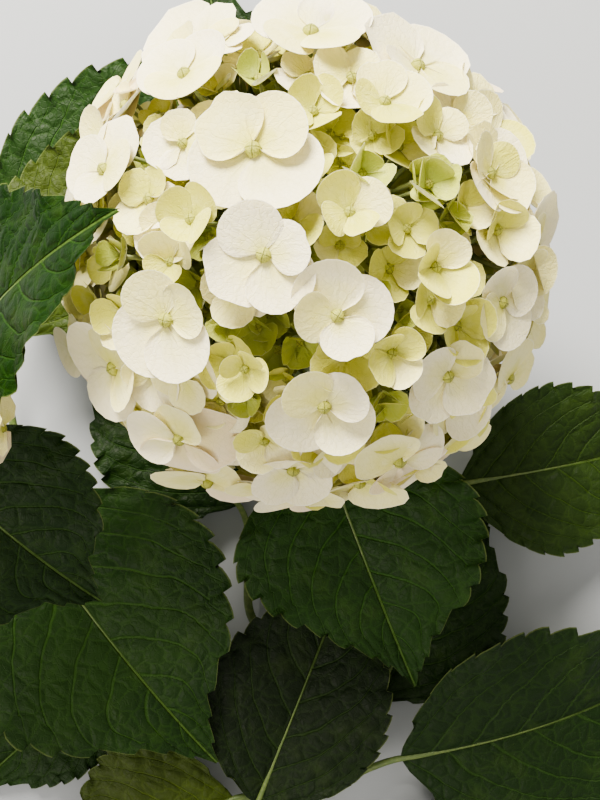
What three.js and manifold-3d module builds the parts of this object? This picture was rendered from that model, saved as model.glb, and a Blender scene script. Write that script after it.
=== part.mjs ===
// Cut flowering branch of a mophead hydrangea, lying on its side with both blooms turned up.
// Millimetres, +Z up, nothing below z = 0. X is the picture's right and Y is its top, as seen from above.
// Places are first given round the big bloom, whose centre is over x = 0, y = 0. At the end the whole
// branch is shifted so that the origin is the bottom centre of its box.

import * as THREE from 'three';
import { mergeVertices } from 'three/addons/utils/BufferGeometryUtils.js';
import Module from 'manifold-3d';

const wasm = await Module();
wasm.setup();

// Driving dimensions
const GAP = 0.3; // clearance between pieces that touch on the real branch
const STEM_SIDES = 8;
const NODE_SWELL = 0.22; // how much a stem thickens at a leaf pair
const NODE_LENGTH = 5; // half length of that swelling along the stem
const STRAIGHT_START = 6; // how far a stem runs straight from where it starts

const LEAF_THICKNESS = 1.5;
const LEAF_END = 0.8; // half width at its very base and tip
const LEAF_TEETH = 8; // teeth on each side, coarser than the living leaf's
const LEAF_STRIPS = 4; // strips across the blade
const LEAF_FOLD = 14; // how far each half folds up from the midrib, in degrees
const LEAF_CURL = 0.9; // how much of that fold is lost again towards the edge
const LEAF_WIDEST = 0.38; // where the blade is widest, from its base
const LEAF_TIP_POWER = 1.35; // a higher number draws the tip out longer
const TOOTH_DEPTH = 0.075; // of the half width
const TOOTH_LEAN = 0.3; // of a tooth's length, towards the tip
const PETIOLE_RADIUS = [2.4, 1.5]; // at the foot and at the blade
const PETIOLE_SIDES = 5;
const PETIOLE_STEPS = 4;

const FLORET_POINTS = 16; // round a floret's edge, four to each sepal
const FLORET_THICKNESS = 1.3;
const FLORET_NOTCH = 0.3; // depth of the gap between two sepals, of the floret's radius
const FLORET_CUP = 0.13; // rise of the edge over the middle, of the floret's radius
const FLORET_SPREAD = 0.12; // how much a floret may be larger or smaller than the bloom's own size
const MOST_DARTS = 4000;
const PEDICEL_RADIUS = [1.5, 1.0]; // at the core and at the floret
const PEDICEL_ROOT = 4; // how deep it is sunk in the core

const COLOURS = {
  petal: 0xf0eadb,
  youngPetal: 0xe9e4c0,
  leaf: 0x2f5a24,
  youngLeaf: 0x7f9440,
  greenStem: 0x6f8a3c,
  bark: 0x8a7454,
};

// The lengths of the branch: points outwards from the cut end or the fork, radius at each end, steps
// along it and the steps where its leaf pairs stand. A stem that follows another starts at its end, and
// one that forks starts at its side, at that step. The side shoot is split at its bend.
const STEMS = {
  cut_stem: {
    points: [[16, -302, 6], [8, -262, 6.2], [-5, -220, 6.2], [-9, -176, 6.2]],
    radius: [5.4, 4.9], steps: 14, nodes: [6, 10], colour: COLOURS.bark,
  },
  main_shoot: {
    follows: 'cut_stem',
    points: [[-6, -130, 4.8], [-1, -98, 6.8], [0, -72, 14.5], [0, -54, 25], [0, -45.6, 39.5]],
    radius: [4.5, 3.4], steps: 18, nodes: [4, 14, 17], colour: COLOURS.greenStem,
  },
  side_shoot: {
    forks: 'cut_stem', step: 13,
    points: [[-46, -144, 5], [-82, -121, 4.6], [-114, -103, 7.6]],
    radius: [4.2, 3.8], steps: 12, nodes: [5], colour: COLOURS.greenStem,
  },
  side_shoot_top: {
    follows: 'side_shoot',
    points: [[-130, -88, 24], [-136, -73, 50], [-140, -59, 78], [-137, -55, 103]],
    radius: [3.7, 2.9], steps: 14, nodes: [2, 6, 11], colour: COLOURS.greenStem,
  },
};

// Leaves: the stem and which of its pairs, the blade's base and tip, its full width, how high the midrib
// bows, how far the blade is rolled about its length and, where it differs, how far its halves fold up.
// Angles are in degrees.
const LEAVES = {
  leaf_top_front: {
    stem: 'main_shoot', pair: 2, width: 97, bow: 9, roll: 4,
    base: [8, -62, 52], tip: [46, -160, 37],
  },
  leaf_top_back: {
    stem: 'main_shoot', pair: 2, width: 90, bow: 6, roll: 0, fold: 8,
    base: [-10, 6, 22], tip: [-42, 142, 0.8],
  },
  leaf_second_right: {
    stem: 'main_shoot', pair: 1, width: 70, bow: 9, roll: 6,
    base: [66, -80, 22], tip: [160, -62, 0.8],
  },
  leaf_second_left: {
    stem: 'main_shoot', pair: 1, width: 60, bow: 4, roll: 0,
    base: [-34, -48, 16], tip: [-84, 34, 1],
  },
  leaf_third_right: {
    stem: 'main_shoot', pair: 0, width: 70, bow: 3, roll: 0,
    base: [31, -172, 10], tip: [82, -84, 4],
  },
  leaf_third_left: {
    stem: 'main_shoot', pair: 0, width: 68, bow: 3, roll: 0, fold: 8,
    base: [-26, -90, 9], tip: [-94, -22, 2],
  },
  leaf_stem_right: {
    stem: 'cut_stem', pair: 1, width: 94, bow: 14, roll: 16,
    base: [42, -195, 17], tip: [172, -152, 0.8],
  },
  leaf_stem_left: {
    stem: 'cut_stem', pair: 1, width: 80, bow: 7, roll: 0, young: true,
    base: [-28, -214, 11], tip: [-104, -240, 0.8],
  },
  leaf_stem_over: {
    stem: 'cut_stem', pair: 0, width: 76, bow: 4, roll: 0,
    base: [-18, -214, 18], tip: [24, -108, 16],
  },
  leaf_stem_front: {
    stem: 'cut_stem', pair: 0, width: 42, bow: 3, roll: 0, young: true,
    base: [30, -230, 9], tip: [94, -243, 3],
  },
  leaf_side_low: {
    stem: 'side_shoot', pair: 0, width: 54, bow: 2, roll: 0,
    base: [-78, -156, 6], tip: [-144, -216, 0.8],
  },
  leaf_side_third_front: {
    stem: 'side_shoot_top', pair: 0, width: 116, bow: 12, roll: 0, fold: 10,
    base: [-115, -90, 31], tip: [-34, -194, 26],
  },
  leaf_side_third_back: {
    stem: 'side_shoot_top', pair: 0, width: 98, bow: 2, roll: 0, fold: 6,
    base: [-118, -2, 25], tip: [-5, 98, 37],
  },
  leaf_side_second_back: {
    stem: 'side_shoot_top', pair: 1, width: 66, bow: 3, roll: 0, fold: 6, young: true,
    base: [-112, -20, 43], tip: [-44, 79, 47],
  },
  leaf_side_second_front: {
    stem: 'side_shoot_top', pair: 1, width: 78, bow: 13, roll: 0,
    base: [-153, -96, 45], tip: [-210, -184, 0.8],
  },
  leaf_side_top_right: {
    stem: 'side_shoot_top', pair: 2, width: 60, bow: 6, roll: -32,
    base: [-117, -30, 96], tip: [-49.5, 6, 182],
  },
  leaf_side_top_front: {
    stem: 'side_shoot_top', pair: 2, width: 80, bow: 8, roll: 0,
    base: [-135, -64, 90], tip: [-76, -122, 58],
  },
};

// Blooms: centre, radius of the core, distance of the florets from the centre, a floret's radius, how many
// florets and how far apart, the shoot, the stalk's radius and the bare patch round it in degrees. The
// leading florets of the big bloom have their own places: lean from straight up, bearing from +X, radius
// and turn.
const BLOOMS = {
  main_bloom: {
    centre: [0, 0, 115], core: 54, seat: 77, floret: 17, count: 54, spacing: 25.5, seed: 4711,
    stem: 'main_shoot', stalk: 3.3, bare: 36, colour: COLOURS.petal,
    leading: [
      [18, 121, 19.3, 20], [9, -141, 16.5, 40], [34, -147, 17, 10], [19, -67, 15, 30], [38, -82, 15.5, 45],
      [47, -43, 15, 15], [60, -122, 15, 30], [47, 125, 16, 0], [50, 87, 19.5, 20], [50, 160, 15, 35],
      [65, -65, 17.5, 10], [51, -17, 14, 30], [82, -30, 15, 0], [83, -51, 14.5, 20], [85, -90, 16, 40],
      [81, -156, 15, 25], [47, 19, 13.5, 10], [33, 57, 13, 40], [22, 175, 10.5, 0], [28, 20, 10, 25],
      [10, 16, 11, 5], [29, -15, 11, 30], [32, -53, 10, 10], [31, -112, 8.5, 20],
    ],
  },
  small_bloom: {
    centre: [-129, -50, 150], core: 25, seat: 38, floret: 11.5, count: 20, spacing: 19.5, seed: 6607,
    stem: 'side_shoot_top', stalk: 2.8, bare: 38, colour: COLOURS.youngPetal, leading: [],
  },
};

const vec = (p) => new THREE.Vector3(...p);
const degrees = (angle) => THREE.MathUtils.degToRad(angle);

// Park-Miller generator: the same seed always gives the same bloom.
function seeded(seed) {
  let state = seed;
  return () => {
    state = (state * 48271) % 2147483647;
    return state / 2147483647;
  };
}

function toSolid(geometry) {
  const bare = geometry.clone();
  bare.deleteAttribute('normal');
  bare.deleteAttribute('uv');
  const merged = mergeVertices(bare, 1e-4);
  const mesh = new wasm.Mesh({
    numProp: 3,
    vertProperties: new Float32Array(merged.attributes.position.array),
    triVerts: new Uint32Array(merged.index.array),
  });
  return new wasm.Manifold(mesh);
}

function toGeometry(solid) {
  const mesh = solid.getMesh();
  const geometry = new THREE.BufferGeometry();
  geometry.setAttribute('position', new THREE.BufferAttribute(new Float32Array(mesh.vertProperties), 3));
  geometry.setIndex(new THREE.BufferAttribute(new Uint32Array(mesh.triVerts), 1));
  geometry.computeVertexNormals();
  return geometry;
}

// Moves every vertex of a geometry to where place(x, y, z) says.
function warp(geometry, place) {
  const position = geometry.attributes.position;
  for (let i = 0; i < position.count; i += 1) {
    const p = place(position.getX(i), position.getY(i), position.getZ(i));
    position.setXYZ(i, p.x, p.y, p.z);
  }
  return geometry;
}

// A closed tapering tube: an upright cylinder bent along a curve. radiusAt gives its radius at 0 to 1.
function limb(curve, radiusAt, sides, steps) {
  const frames = curve.computeFrenetFrames(steps, false);
  const rod = new THREE.CylinderGeometry(1, 1, 1, sides, steps);
  return warp(rod, (x, y, z) => {
    const t = 0.5 - y;
    const step = Math.round(t * steps);
    const radius = radiusAt(t);
    return curve.getPointAt(t)
      .addScaledVector(frames.normals[step], x * radius)
      .addScaledVector(frames.binormals[step], z * radius);
  });
}

const nodeAt = (stem, pair) => stem.nodes[pair] / stem.steps;

function stemRadius(stem, t) {
  const base = THREE.MathUtils.lerp(stem.radius[0], stem.radius[1], t);
  const swell = stem.nodes.reduce((sum, node) => {
    const reach = ((t - node / stem.steps) * stem.curve.getLength()) / NODE_LENGTH;
    return sum + Math.exp(-reach * reach);
  }, 0);
  return base * (1 + NODE_SWELL * swell);
}

// Where something that grows from a stem's side towards a point starts, just clear of the stem.
function footOn(stem, t, towards) {
  const centre = stem.curve.getPointAt(t);
  const axis = stem.curve.getTangentAt(t);
  const out = towards.clone().sub(centre);
  out.addScaledVector(axis, -out.dot(axis)).normalize();
  const foot = centre.addScaledVector(out, stemRadius(stem, t) + GAP);
  return { foot, out };
}

// The first points of a stem, set by the stem that it grows from.
function startOf(stem) {
  if (stem.follows) {
    const before = STEMS[stem.follows].curve;
    const axis = before.getTangentAt(1);
    return [GAP, GAP + STRAIGHT_START].map((reach) => before.getPointAt(1).addScaledVector(axis, reach));
  }
  if (stem.forks) {
    const before = STEMS[stem.forks];
    const { foot, out } = footOn(before, stem.step / before.steps, vec(stem.points[0]));
    return [foot, foot.clone().addScaledVector(out, STRAIGHT_START)];
  }
  return [];
}

function makeStem(stem) {
  const points = [...startOf(stem), ...stem.points.map(vec)];
  stem.curve = new THREE.CatmullRomCurve3(points, false, 'centripetal');
  return toSolid(limb(stem.curve, (t) => stemRadius(stem, t), STEM_SIDES, stem.steps));
}

// Half width of a leaf blade at s from 0 at its base to 1 at its tip, as a share of the widest.
function leafOutline(s) {
  const basePower = (LEAF_TIP_POWER * LEAF_WIDEST) / (1 - LEAF_WIDEST);
  return (s / LEAF_WIDEST) ** basePower * ((1 - s) / (1 - LEAF_WIDEST)) ** LEAF_TIP_POWER;
}

// The curve of a midrib and the axes of the blade round it.
function leafFrame(leaf) {
  const base = vec(leaf.base);
  const tip = vec(leaf.tip);
  const along = tip.clone().sub(base).normalize();
  const up = new THREE.Vector3(0, 0, 1);
  const face = up.addScaledVector(along, -along.z).normalize().applyAxisAngle(along, degrees(leaf.roll));
  const middle = base.clone().lerp(tip, 0.5).addScaledVector(face, 2 * leaf.bow);
  return { curve: new THREE.QuadraticBezierCurve3(base, middle, tip), face };
}

function makeBlade(leaf, frame) {
  const rows = LEAF_TEETH * 2;
  const box = new THREE.BoxGeometry(2, 1, 1, LEAF_STRIPS, rows, 1);
  const fold = Math.tan(degrees(leaf.fold ?? LEAF_FOLD));
  return toSolid(warp(box, (q, y, z) => {
    const row = Math.round((y + 0.5) * rows);
    const atTooth = Math.abs(q) > 0.9 && row > 0 && row < rows;
    const lean = atTooth && row % 2 === 1 ? TOOTH_LEAN : 0;
    const s = (row + lean) / rows;
    const tooth = atTooth && row % 2 === 1 ? 1 + TOOTH_DEPTH : 1;
    const half = Math.max(0.5 * leaf.width * leafOutline(s) * tooth, LEAF_END);
    const tangent = frame.curve.getTangentAt(s);
    const side = tangent.clone().cross(frame.face).normalize();
    const normal = side.clone().cross(tangent).normalize();
    const across = q * half;
    const rise = Math.abs(across) * fold - (LEAF_CURL * fold * across * across) / leaf.width;
    return frame.curve.getPointAt(s)
      .addScaledVector(side, across)
      .addScaledVector(normal, rise + z * LEAF_THICKNESS);
  }));
}

function makePetiole(leaf, frame) {
  const stem = STEMS[leaf.stem];
  const start = frame.curve.getTangentAt(0);
  const base = frame.curve.getPointAt(0.02);
  const { foot, out } = footOn(stem, nodeAt(stem, leaf.pair), base);
  const reach = 0.35 * foot.distanceTo(base);
  const path = new THREE.CubicBezierCurve3(
    foot, foot.clone().addScaledVector(out, reach), base.clone().addScaledVector(start, -reach), base);
  const radiusAt = (t) => THREE.MathUtils.lerp(PETIOLE_RADIUS[0], PETIOLE_RADIUS[1], t);
  return toSolid(limb(path, radiusAt, PETIOLE_SIDES, PETIOLE_STEPS));
}

function makeLeaf(leaf) {
  const frame = leafFrame(leaf);
  return makeBlade(leaf, frame).add(makePetiole(leaf, frame));
}

// The direction that leans from straight up, towards a bearing from +X; both in degrees.
function direction(lean, bearing) {
  const [up, round] = [degrees(lean), degrees(bearing)];
  return new THREE.Vector3(Math.sin(up) * Math.cos(round), Math.sin(up) * Math.sin(round), Math.cos(up));
}

// Florets of a bloom: the leading ones, then darts thrown at the ball that keep their spacing and
// stay off the bare patch round the stalk.
function floretSeats(bloom, stalkWay) {
  const random = seeded(bloom.seed);
  const seats = bloom.leading.map(([lean, bearing, radius, turn]) => ({
    way: direction(lean, bearing), radius, turn,
  }));
  const bareLimit = Math.cos(degrees(bloom.bare));
  const closest = 2 * Math.sin(bloom.spacing / bloom.seat / 2);
  for (let dart = 0; dart < MOST_DARTS && seats.length < bloom.count; dart += 1) {
    const height = 2 * random() - 1;
    const bearing = 360 * random();
    const size = random();
    const turn = 90 * random();
    const way = direction(THREE.MathUtils.radToDeg(Math.acos(height)), bearing);
    const clear = seats.every((seat) => seat.way.distanceTo(way) > closest);
    if (clear && way.dot(stalkWay) < bareLimit) {
      seats.push({ way, radius: bloom.floret * (1 + FLORET_SPREAD * (2 * size - 1)), turn });
    }
  }
  return seats;
}

// Radius of a four-lobed floret at an angle, as a share of its largest.
const floretOutline = (angle) => 1 - FLORET_NOTCH * Math.abs(Math.sin(2 * angle)) ** 3;

// One floret: a cupped four-lobed plate facing +Z, on a thin stalk down to the core.
function makeFloret(radius, stalkLength) {
  const plate = new THREE.CylinderGeometry(1, 1, 1, FLORET_POINTS, 1).rotateX(Math.PI / 2);
  warp(plate, (x, y, z) => {
    const share = Math.hypot(x, y);
    const angle = Math.atan2(y, x);
    const reach = radius * share * floretOutline(angle);
    const lift = FLORET_CUP * radius * share * share * (1 + 0.8 * Math.cos(2 * angle));
    return new THREE.Vector3(reach * Math.cos(angle), reach * Math.sin(angle), lift + z * FLORET_THICKNESS);
  });
  const stalk = new THREE.CylinderGeometry(PEDICEL_RADIUS[1], PEDICEL_RADIUS[0], stalkLength, 4)
    .rotateX(Math.PI / 2).translate(0, 0, -stalkLength / 2);
  return toSolid(plate).add(toSolid(stalk));
}

function makeBloom(bloom) {
  const centre = vec(bloom.centre);
  const shootTip = STEMS[bloom.stem].curve.getPointAt(1);
  const stalkWay = shootTip.clone().sub(centre).normalize();
  const stalkFoot = shootTip.clone().addScaledVector(stalkWay, -GAP - 0.1);
  const ball = new THREE.IcosahedronGeometry(bloom.core, 2).translate(...bloom.centre);
  const stalk = limb(new THREE.LineCurve3(stalkFoot, centre), () => bloom.stalk, STEM_SIDES, 1);
  const pieces = [toSolid(ball), toSolid(stalk)];
  floretSeats(bloom, stalkWay).forEach((seat) => {
    const floret = makeFloret(seat.radius, bloom.seat - bloom.core + PEDICEL_ROOT);
    const turn = new THREE.Quaternion().setFromUnitVectors(new THREE.Vector3(0, 0, 1), seat.way);
    turn.multiply(new THREE.Quaternion().setFromAxisAngle(new THREE.Vector3(0, 0, 1), degrees(seat.turn)));
    const place = new THREE.Matrix4().compose(
      centre.clone().addScaledVector(seat.way, bloom.seat), turn, new THREE.Vector3(1, 1, 1));
    pieces.push(floret.transform(place.elements));
  });
  return wasm.Manifold.union(pieces);
}

function addPiece(group, name, solid, colour) {
  const material = new THREE.MeshStandardMaterial({ color: colour, roughness: 0.6, metalness: 0 });
  const mesh = new THREE.Mesh(toGeometry(solid), material);
  mesh.name = name;
  group.add(mesh);
}

const branch = new THREE.Group();
for (const [name, stem] of Object.entries(STEMS)) addPiece(branch, name, makeStem(stem), stem.colour);
for (const [name, leaf] of Object.entries(LEAVES)) {
  addPiece(branch, name, makeLeaf(leaf), leaf.young ? COLOURS.youngLeaf : COLOURS.leaf);
}
for (const [name, bloom] of Object.entries(BLOOMS)) addPiece(branch, name, makeBloom(bloom), bloom.colour);

const box = new THREE.Box3().setFromObject(branch);
branch.position.set(-(box.min.x + box.max.x) / 2, -(box.min.y + box.max.y) / 2, -box.min.z);
branch.updateMatrixWorld(true);

export default branch;
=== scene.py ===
"""Dresses the cut flowering branch of a mophead hydrangea.

Places are in millimetres round the middle of the big bloom, as in the branch's own source, with X the
picture's right, Y its top and Z towards the camera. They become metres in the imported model's frame when a
finished mesh is written.
"""

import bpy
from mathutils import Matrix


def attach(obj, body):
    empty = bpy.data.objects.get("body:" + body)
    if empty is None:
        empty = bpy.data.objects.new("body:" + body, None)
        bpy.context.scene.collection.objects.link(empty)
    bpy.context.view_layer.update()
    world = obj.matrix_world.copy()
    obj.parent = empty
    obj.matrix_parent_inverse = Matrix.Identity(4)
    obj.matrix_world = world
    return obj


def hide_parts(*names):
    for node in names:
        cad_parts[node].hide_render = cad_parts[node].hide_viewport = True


bl_info = {
    "name": "Hydrangea Branch",
    "version": (1, 0, 0),
    "blender": (4, 5, 0),
    "location": "3D View > Sidebar > Hydrangea",
    "description": "Builds the stems, leaves and blooms of a cut hydrangea branch",
    "category": "Add Mesh",
}

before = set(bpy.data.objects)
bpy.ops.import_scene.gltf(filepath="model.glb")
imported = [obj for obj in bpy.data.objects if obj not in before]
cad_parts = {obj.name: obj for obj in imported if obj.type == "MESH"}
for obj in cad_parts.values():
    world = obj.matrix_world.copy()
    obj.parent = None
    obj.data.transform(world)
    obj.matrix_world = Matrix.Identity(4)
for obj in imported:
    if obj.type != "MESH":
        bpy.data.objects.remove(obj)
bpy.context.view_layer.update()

from bisect import bisect_right
from collections import namedtuple
from math import acos, atan2, ceil, copysign, cos, degrees, exp, floor, pi, radians, sin, sqrt, tan

import bmesh
import bpy
from bpy.props import FloatProperty, FloatVectorProperty, IntProperty, PointerProperty
from mathutils import Matrix, Quaternion, Vector

MM = 0.001
SHIFT = Vector((23.578, 80.306, 0.138))  # from the bloom's own places to the branch's bottom centre
UP = Vector((0, 0, 1))
PICTURE_TOP = Vector((0, 1, 0))
BAKE_MAP = "OFBake"  # the map that the materials read
GAP = 0.3  # clearance between pieces that are grown together on the real branch

NODE_SWELL = 0.22  # how much a stem thickens at a leaf pair
NODE_LENGTH = 5
STRAIGHT_START = 6
CUT_CHAMFER, CUT_CHAMFER_LENGTH = 0.35, 0.8
RING_RISE, RING_DIP, RING_LENGTH = 0.28, 0.12, 0.9  # of the scar round a stem at a leaf pair
RING_DIP_AT = 2.0  # how far before the scar its dip lies
BARK_STEP, SHOOT_STEP = 1.2, 1.8  # from one row of a stem's skin to the next
BARK_SIDES, SHOOT_SIDES = 40, 24

BLADE = "blade"  # a vertex's place: across as a share of the half width, along, and distance from the midrib
ACROSS_UNIT = 50  # millimetres to one unit of that distance
LEAF_STRIPS = 36  # across a blade
ROWS_TO_TOOTH = 5
LEAF_FOLD = 14  # degrees by which each half of a blade rises from its midrib
LEAF_CURL = 0.9
LEAF_WIDEST = 0.38  # where along a blade
LEAF_TIP_POWER = 1.35
LEAF_DRIP = 0.35  # how much a blade draws in before its tip
LEAF_GLOSS = 0.12
TIP_HALF_WIDTH = 0.25
TOOTH_PEAK = 0.78  # where along a tooth it stands out most
TOOTH_LEAN = 0.25  # how far a tooth leans forward, as a share of its length
WAVE_HEIGHT, RIPPLE_HEIGHT = 1.7, 0.6  # of a blade's edge
VEIN_LEAN, VEIN_CURVE = 0.36, 0.4  # how far forward a side vein runs on its way to the edge
BASE_LEAN, BASE_LEAN_RISE = 0.4, 1.5  # the same for the lowest veins, and how soon it is full
LEFT_VEINS_LATER = 0.4  # of the distance between two veins
VEIN_WIDTH, MIDRIB_WIDTH = 1.5, 1.6
STALK_ROOT = 0.02  # where a stalk meets its blade
STALK_RADIUS, MIDRIB_RADIUS = 2.0, 1.25
STALK_SIDES, STALK_STEP = 10, 3.0
LOWEST = 0.7  # of a blade's upper face

MOST_DARTS = 4000
OUTER_FAN, INNER_FAN = 88, 83  # degrees that a sepal spreads to each side
SEPAL_FOOT = 0.05  # how far from a floret's middle a sepal starts, as a share of the floret's radius
BUD_LOBES = 0.13  # how deep the grooves between them are
TOP_LEAN = 42  # degrees from straight up, within which a floret turns more to the camera
LEAF_CLEARANCE = 2.5  # of the small florets
DEEP, INNERMOST = 70, 60  # distances from a bloom's centre
HUB, RAY_ENDS, BRANCH_ENDS = 0.32, 0.42, 0.66  # where stalks fork, as shares of the large florets' distance
RAY_SPACING, BRANCH_SPACING = 0.95, 0.46
LIGHT_COLOUR = (1.0, 0.925, 0.78)
LIGHT_AIM = (0.02, 0.05, 0.08)
CAMERA = Vector((0, -45.5, 485))
FLOOR_REACH = 8

# Stems, as in the branch's source: points from the cut end or the fork outwards, radius at both ends,
# steps along it and the steps where leaf pairs stand.
STEMS = {
    "cut_stem": dict(
        points=[(16, -302, 6), (8, -262, 6.2), (-5, -220, 6.2), (-9, -176, 6.2)],
        radius=(5.4, 4.9), steps=14, nodes=[6, 10], skin="bark"),
    "main_shoot": dict(
        follows="cut_stem",
        points=[(-6, -130, 4.8), (-1, -98, 6.8), (0, -72, 14.5), (0, -54, 25), (0, -45.6, 39.5)],
        radius=(4.5, 3.4), steps=18, nodes=[4, 14, 17], skin="green_stem"),
    "side_shoot": dict(
        forks="cut_stem", step=13,
        points=[(-46, -144, 5), (-82, -121, 4.6), (-114, -103, 7.6)],
        radius=(4.2, 3.8), steps=12, nodes=[5], skin="green_stem"),
    "side_shoot_top": dict(
        follows="side_shoot",
        points=[(-130, -88, 24), (-136, -73, 50), (-140, -59, 78), (-137, -55, 103)],
        radius=(3.7, 2.9), steps=14, nodes=[2, 6, 11], skin="green_stem"),
}

# Leaves: stem and pair, base and tip of the blade, full width, bow and roll in most as in the source, the
# blade's colour, the colour of its lighter patches and how strong those are. The blade colours follow how
# dark each leaf looked, so they are partly painted shade, most of all on leaf_stem_over. A blade may also
# have its own fold in degrees, one half that runs narrower to the tip (slim, the left half where it is
# negative), its own drip and gloss, and may be young.
Leaf = namedtuple(
    "Leaf", "stem pair base tip width bow roll green patch patches fold slim drip gloss young",
    defaults=(LEAF_FOLD, 0, LEAF_DRIP, LEAF_GLOSS, False))
LEAVES = {
    "leaf_top_front": Leaf(
        "main_shoot", 2, (8, -62, 52), (46, -160, 37), 97, 9, 4, "0c2401", "153302", 0.4, slim=0.35),
    "leaf_top_back": Leaf(
        "main_shoot", 2, (-10, 6, 22), (-42, 142, 0.8), 90, 6, 0, "081c01", "0e2502", 0.3, fold=8),
    "leaf_second_right": Leaf(
        "main_shoot", 1, (66, -80, 22), (160, -62, 0.8), 70, 9, 6, "0c2001", "1b2d02", 0.6),
    "leaf_second_left": Leaf(
        "main_shoot", 1, (-34, -48, 16), (-84, 34, 1), 60, 4, 0, "051401", "091c01", 0.3),
    "leaf_third_right": Leaf(
        "main_shoot", 0, (31, -172, 10), (82, -84, 4), 70, 3, 0, "071a01", "0e2301", 0.3),
    "leaf_third_left": Leaf(
        "main_shoot", 0, (-26, -90, 9), (-94, -22, 2), 68, 3, 0, "071b01", "0e2501", 0.3, fold=8),
    "leaf_stem_right": Leaf(
        "cut_stem", 1, (42, -195, 17), (172, -152, 0.8), 94, 14, 16, "061a01", "0d2401", 0.35),
    "leaf_stem_left": Leaf(
        "cut_stem", 1, (-28, -214, 11), (-104, -240, 0.8), 80, 7, 0, "253203", "333f07", 0.5, young=True),
    # Painted shade: this blade's green is near black for the deep shade it lies in.
    "leaf_stem_over": Leaf(
        "cut_stem", 0, (-18, -214, 18), (24, -108, 16), 76, 4, 0, "030f00", "061600", 0.3),
    "leaf_stem_front": Leaf(
        "cut_stem", 0, (30, -230, 9), (94, -243, 3), 42, 3, 0, "273403", "354007", 0.5, young=True),
    "leaf_side_low": Leaf(
        "side_shoot", 0, (-78, -156, 6), (-144, -216, 0.8), 54, 2, 0, "0a2001", "122c02", 0.3),
    "leaf_side_third_front": Leaf(
        "side_shoot_top", 0, (-115, -90, 31), (-34, -194, 26), 116, 12, 0, "082001", "173202", 0.7, fold=10),
    "leaf_side_third_back": Leaf(
        "side_shoot_top", 0, (-118, -2, 25), (-5, 98, 37), 98, 2, 0, "0b2301", "122d02", 0.35, fold=6),
    "leaf_side_second_back": Leaf(
        "side_shoot_top", 1, (-112, -20, 43), (-44, 79, 47), 66, 3, 0, "1f2e02", "2f3a04", 0.5, fold=6,
        young=True),
    "leaf_side_second_front": Leaf(
        "side_shoot_top", 1, (-153, -96, 45), (-210, -184, 0.8), 78, 13, 0, "082001", "112a02", 0.35),
    "leaf_side_top_right": Leaf(
        "side_shoot_top", 2, (-117, -30, 96), (-49.5, 6, 182), 80, 6, -32, "051901", "0b2402", 0.3, fold=4,
        slim=-0.2, drip=0.0, gloss=0.04),
    "leaf_side_top_front": Leaf(
        "side_shoot_top", 2, (-135, -64, 90), (-76, -122, 58), 80, 8, 0, "071c02", "0f2602", 0.3),
}

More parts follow.
